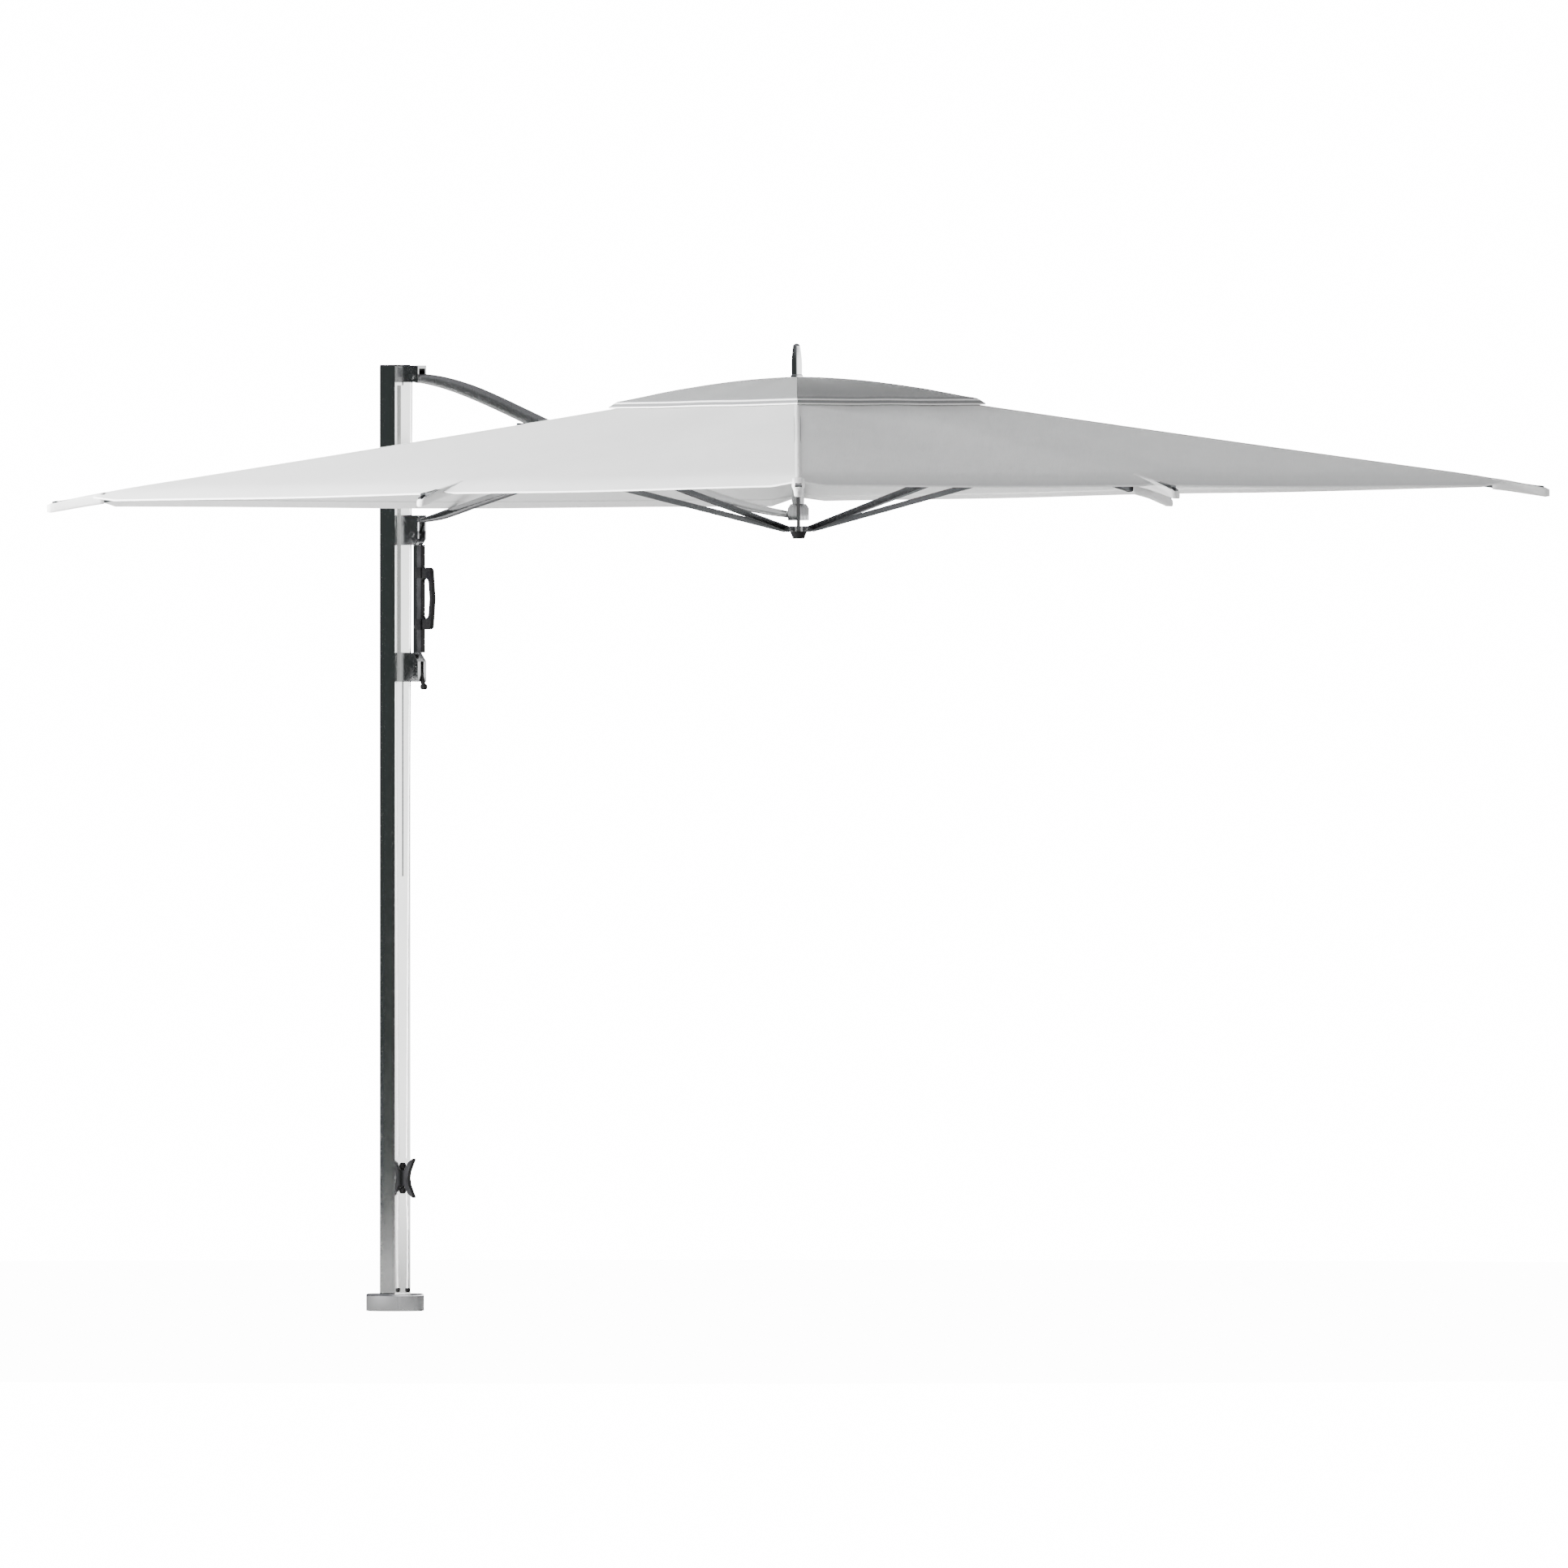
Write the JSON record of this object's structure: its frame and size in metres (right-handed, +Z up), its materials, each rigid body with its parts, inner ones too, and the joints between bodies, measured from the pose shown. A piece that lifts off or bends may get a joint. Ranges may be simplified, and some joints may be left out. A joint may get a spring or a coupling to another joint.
{
  "type": "cantilever parasol",
  "caption": "Side-mast parasol: a square canopy hung from a curved boom, with a lower arm, sliding carriage and folding ribs.",
  "frame": {"origin": "centre of the mast's foot, on the underside of the base plate", "axes": "+Z up along the mast, +X from the mast to the canopy, +Y completes a right-handed frame"},
  "size_m": [3.212, 3.0084, 2.756],
  "materials": {
    "zinc_steel": "satin zinc",
    "polished_chrome": "polished",
    "mast_finish": "polished and anodised",
    "dark_polished": "dark, polished",
    "bright_pin": "machined",
    "black_nylon": "matt",
    "grip_rubber": "matt",
    "rope": "braided",
    "rib_metal": "polished",
    "canopy_fabric": "woven, matt"
  },
  "bodies": {
    "base": {"base_plate": "zinc_steel"},
    "mast": {"mast_bushes": "black_nylon", "base_cover": "polished_chrome", "mast_tube": "mast_finish", "mast_cap": "black_nylon", "top_bracket": "dark_polished", "boom_pin": "bright_pin", "cleat": "black_nylon", "halyard": "rope", "rope_tail": "rope", "rope_bead": "black_nylon"},
    "sheave": {"top_sheave": "black_nylon"},
    "boom": {"boom": "dark_polished", "boom_fairlead": "black_nylon", "arm_joint_pin": "bright_pin", "head_clamp": "dark_polished", "centre_pole": "dark_polished", "top_hub": "dark_polished", "rib_pins": "bright_pin", "finial": "polished_chrome", "vent_cap": "canopy_fabric"},
    "lower_arm": {"lower_arm": "dark_polished"},
    "carriage": {"arm_root_pin": "bright_pin", "slide_bar": "mast_finish", "carriage_upper_block": "dark_polished", "carriage_lower_block": "dark_polished", "front_plates": "polished_chrome", "handle_bar": "black_nylon", "handle_rail": "polished_chrome", "grip": "grip_rubber", "slide_shoes": "black_nylon", "lever_pin": "bright_pin"},
    "release_lever": {"release_lever": "grip_rubber"},
    "runner": {"runner": "dark_polished", "runner_cap": "black_nylon", "strut_foot_pins": "bright_pin"},
    "rib_outer": {"rib_outer": "rib_metal", "panel_outer": "canopy_fabric"},
    "strut_outer": {"strut_outer": "rib_metal"},
    "rib_right_corner": {"rib_right_corner": "rib_metal", "panel_right_corner": "canopy_fabric"},
    "strut_right_corner": {"strut_right_corner": "rib_metal"},
    "rib_rear_side": {"rib_rear_side": "rib_metal", "panel_rear_side": "canopy_fabric"},
    "strut_rear_side": {"strut_rear_side": "rib_metal"},
    "rib_rear_corner": {"rib_rear_corner": "rib_metal", "panel_rear_corner": "canopy_fabric"},
    "strut_rear_corner": {"strut_rear_corner": "rib_metal"},
    "rib_left_corner": {"rib_left_corner": "rib_metal", "panel_left_corner": "canopy_fabric"},
    "strut_left_corner": {"strut_left_corner": "rib_metal"},
    "rib_front_side": {"rib_front_side": "rib_metal", "panel_front_side": "canopy_fabric"},
    "strut_front_side": {"strut_front_side": "rib_metal"},
    "rib_front_corner": {"rib_front_corner": "rib_metal", "panel_front_corner": "canopy_fabric"},
    "strut_front_corner": {"strut_front_corner": "rib_metal"}
  },
  "joints": [
    {"name": "mast_swivel", "type": "hinge", "parent": "base", "child": "mast", "pos_m": [0, 0, 0.3], "axis": [0, 0, 1], "continuous": true},
    {"name": "boom_tilt", "type": "hinge", "parent": "mast", "child": "boom", "pos_m": [0.085, 0, 2.665], "axis": [0, 1, 0], "range_deg": [0, 18]},
    {"name": "arm_joint", "type": "hinge", "parent": "boom", "child": "lower_arm", "pos_m": [0.868, 0, 2.44], "axis": [0, 1, 0], "range_deg": [-36, 0]},
    {"name": "carriage_pivot", "type": "hinge", "parent": "lower_arm", "child": "carriage", "pos_m": [0.085, 0, 2.215], "axis": [0, 1, 0], "range_deg": [0, 18]},
    {"name": "release_lever_press", "type": "hinge", "parent": "carriage", "child": "release_lever", "pos_m": [0.096, 0, 1.837], "axis": [0, 1, 0], "range_deg": [0, 15], "stiffness_Nm_per_rad": 2, "springref_deg": -8.59},
    {"name": "sheave_turn", "type": "hinge", "parent": "mast", "child": "sheave", "pos_m": [0.085, 0, 2.665], "axis": [0, 1, 0], "continuous": true},
    {"name": "canopy_fold", "type": "hinge", "parent": "boom", "child": "rib_outer", "pos_m": [1.66269, 0, 2.6366], "axis": [0, 1, 0], "range_deg": [0, 75], "deforming": ["panel_outer", "vent_cap"]},
    {"name": "strut_knee_outer", "type": "hinge", "parent": "rib_outer", "child": "strut_outer", "pos_m": [2.42925, 0, 2.44558], "axis": [0, 1, 0], "range_deg": [-150, 0]},
    {"name": "rib_fold_right_corner", "type": "hinge", "parent": "boom", "child": "rib_right_corner", "pos_m": [1.65039, 0.0297, 2.63641], "axis": [-0.707, 0.7071, -0.0106], "range_deg": [0, 75], "deforming": ["panel_right_corner"]},
    {"name": "strut_knee_right_corner", "type": "hinge", "parent": "rib_right_corner", "child": "strut_right_corner", "pos_m": [2.19332, 0.56965, 2.44204], "axis": [-0.707, 0.7071, -0.0106], "range_deg": [-150, 0]},
    {"name": "rib_fold_rear_side", "type": "hinge", "parent": "boom", "child": "rib_rear_side", "pos_m": [1.62069, 0.042, 2.63597], "axis": [-0.9999, 0, -0.015], "range_deg": [0, 75], "deforming": ["panel_rear_side"]},
    {"name": "strut_knee_rear_side", "type": "hinge", "parent": "rib_rear_side", "child": "strut_rear_side", "pos_m": [1.62373, 0.80561, 2.43349], "axis": [-0.9999, 0, -0.015], "range_deg": [-150, 0]},
    {"name": "rib_fold_rear_corner", "type": "hinge", "parent": "boom", "child": "rib_rear_corner", "pos_m": [1.591, 0.0297, 2.63552], "axis": [-0.707, -0.7071, -0.0106], "range_deg": [0, 75], "deforming": ["panel_rear_corner"]},
    {"name": "strut_knee_rear_corner", "type": "hinge", "parent": "rib_rear_corner", "child": "strut_rear_corner", "pos_m": [1.05415, 0.56965, 2.42494], "axis": [-0.707, -0.7071, -0.0106], "range_deg": [-150, 0]},
    {"name": "rib_fold_left_corner", "type": "hinge", "parent": "boom", "child": "rib_left_corner", "pos_m": [1.591, -0.0297, 2.63552], "axis": [0.707, -0.7071, 0.0106], "range_deg": [0, 75], "deforming": ["panel_left_corner"]},
    {"name": "strut_knee_left_corner", "type": "hinge", "parent": "rib_left_corner", "child": "strut_left_corner", "pos_m": [1.05415, -0.56965, 2.42494], "axis": [0.707, -0.7071, 0.0106], "range_deg": [-150, 0]},
    {"name": "rib_fold_front_side", "type": "hinge", "parent": "boom", "child": "rib_front_side", "pos_m": [1.62069, -0.042, 2.63597], "axis": [0.9999, 0, 0.015], "range_deg": [0, 75], "deforming": ["panel_front_side"]},
    {"name": "strut_knee_front_side", "type": "hinge", "parent": "rib_front_side", "child": "strut_front_side", "pos_m": [1.62373, -0.80561, 2.43349], "axis": [0.9999, 0, 0.015], "range_deg": [-150, 0]},
    {"name": "rib_fold_front_corner", "type": "hinge", "parent": "boom", "child": "rib_front_corner", "pos_m": [1.65039, -0.0297, 2.63641], "axis": [0.707, 0.7071, 0.0106], "range_deg": [0, 75], "deforming": ["panel_front_corner"]},
    {"name": "strut_knee_front_corner", "type": "hinge", "parent": "rib_front_corner", "child": "strut_front_corner", "pos_m": [2.19332, -0.56965, 2.44204], "axis": [0.707, 0.7071, 0.0106], "range_deg": [-150, 0]},
    {"name": "runner_pivot", "type": "hinge", "parent": "strut_outer", "child": "runner", "pos_m": [1.66877, 0, 2.23164], "axis": [0, 1, 0], "range_deg": [0, 75]}
  ],
  "couplings": [
    {"joint": "arm_joint", "follows": "boom_tilt", "ratio": -2},
    {"joint": "carriage_pivot", "follows": "boom_tilt", "ratio": 1},
    {"joint": "strut_knee_outer", "follows": "canopy_fold", "ratio": -2},
    {"joint": "rib_fold_right_corner", "follows": "canopy_fold", "ratio": 1},
    {"joint": "strut_knee_right_corner", "follows": "canopy_fold", "ratio": -2},
    {"joint": "rib_fold_rear_side", "follows": "canopy_fold", "ratio": 1},
    {"joint": "strut_knee_rear_side", "follows": "canopy_fold", "ratio": -2},
    {"joint": "rib_fold_rear_corner", "follows": "canopy_fold", "ratio": 1},
    {"joint": "strut_knee_rear_corner", "follows": "canopy_fold", "ratio": -2},
    {"joint": "rib_fold_left_corner", "follows": "canopy_fold", "ratio": 1},
    {"joint": "strut_knee_left_corner", "follows": "canopy_fold", "ratio": -2},
    {"joint": "rib_fold_front_side", "follows": "canopy_fold", "ratio": 1},
    {"joint": "strut_knee_front_side", "follows": "canopy_fold", "ratio": -2},
    {"joint": "rib_fold_front_corner", "follows": "canopy_fold", "ratio": 1},
    {"joint": "strut_knee_front_corner", "follows": "canopy_fold", "ratio": -2},
    {"joint": "runner_pivot", "follows": "canopy_fold", "ratio": 1}
  ]
}
